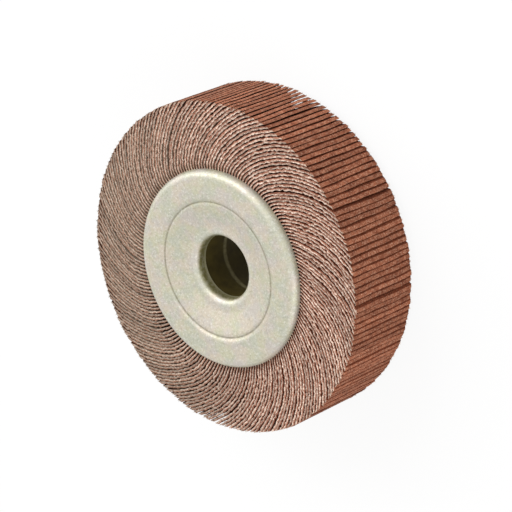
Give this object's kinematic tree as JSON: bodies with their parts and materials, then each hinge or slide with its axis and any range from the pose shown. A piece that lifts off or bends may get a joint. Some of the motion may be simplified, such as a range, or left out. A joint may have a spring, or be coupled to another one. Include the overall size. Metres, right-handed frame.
{
  "type": "flap wheel",
  "caption": "Abrasive flap wheel: swept cloth flaps packed round a cast core between two pressed steel flanges with a central bore.",
  "frame": {"origin": "middle of the bore, half way between the two flanges", "axes": "+Z along the wheel's axis, out of the front flange; +X and +Y across the wheel"},
  "size_m": [0.2, 0.2, 0.0604],
  "materials": {
    "flange_steel": "dull zinc plating on pressed sheet steel",
    "core_resin": "dark brown cast resin",
    "abrasive_cloth": "red-brown grain on pale beige cloth"
  },
  "bodies": {
    "root": {"front_flange": "flange_steel", "rear_flange": "flange_steel", "core": "core_resin", "flap_set_01": "abrasive_cloth", "flap_set_02": "abrasive_cloth", "flap_set_03": "abrasive_cloth", "flap_set_04": "abrasive_cloth", "flap_set_05": "abrasive_cloth", "flap_set_06": "abrasive_cloth", "flap_set_07": "abrasive_cloth", "flap_set_08": "abrasive_cloth", "flap_set_09": "abrasive_cloth", "flap_set_10": "abrasive_cloth", "flap_set_11": "abrasive_cloth", "flap_set_12": "abrasive_cloth", "flap_set_13": "abrasive_cloth", "flap_set_14": "abrasive_cloth", "flap_set_15": "abrasive_cloth", "flap_set_16": "abrasive_cloth", "flap_set_17": "abrasive_cloth", "flap_set_18": "abrasive_cloth", "flap_set_19": "abrasive_cloth", "flap_set_20": "abrasive_cloth", "flap_set_21": "abrasive_cloth", "flap_set_22": "abrasive_cloth", "flap_set_23": "abrasive_cloth", "flap_set_24": "abrasive_cloth", "flap_set_25": "abrasive_cloth", "flap_set_26": "abrasive_cloth", "flap_set_27": "abrasive_cloth", "flap_set_28": "abrasive_cloth", "flap_set_29": "abrasive_cloth", "flap_set_30": "abrasive_cloth", "flap_set_31": "abrasive_cloth", "flap_set_32": "abrasive_cloth", "flap_set_33": "abrasive_cloth", "flap_set_34": "abrasive_cloth", "flap_set_35": "abrasive_cloth", "flap_set_36": "abrasive_cloth", "flap_set_37": "abrasive_cloth", "flap_set_38": "abrasive_cloth", "flap_set_39": "abrasive_cloth", "flap_set_40": "abrasive_cloth", "flap_set_41": "abrasive_cloth", "flap_set_42": "abrasive_cloth", "flap_set_43": "abrasive_cloth", "flap_set_44": "abrasive_cloth", "flap_set_45": "abrasive_cloth"}
  },
  "joints": []
}
